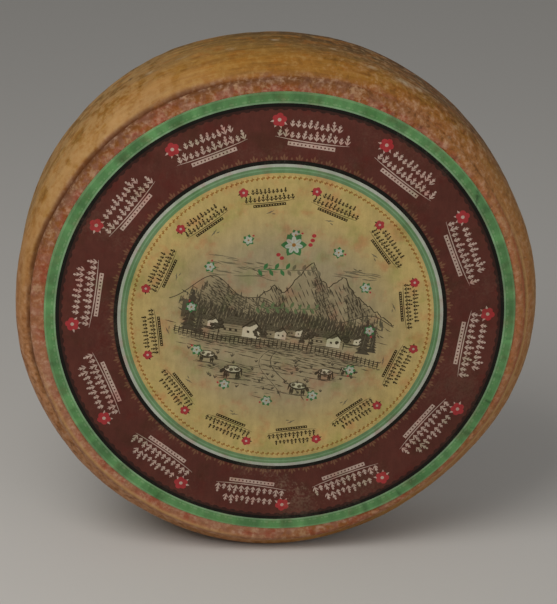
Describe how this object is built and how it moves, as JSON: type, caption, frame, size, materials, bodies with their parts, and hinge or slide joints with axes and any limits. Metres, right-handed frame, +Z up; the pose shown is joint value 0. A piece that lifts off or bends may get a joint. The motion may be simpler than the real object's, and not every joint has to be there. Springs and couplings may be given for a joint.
{
  "type": "vacherin fribourgeois cheese wheel",
  "caption": "Whole wheel of washed-rind semi-hard cheese standing on its edge, with a bulging side and a large round paper label on its front face.",
  "frame": {"origin": "on the table under the middle of the wheel's bounding box", "axes": "+Z up, -Y the way the label faces along the wheel's axis, +X to the right seen from the front"},
  "size_m": [0.3644, 0.0918, 0.3676],
  "materials": {
    "rind": "semi-matt washed rind, ochre side and pinkish orange face margins with pale bloom",
    "label": null
  },
  "bodies": {
    "root": {"cheese_wheel": "rind", "paper_label": "label"}
  },
  "joints": []
}
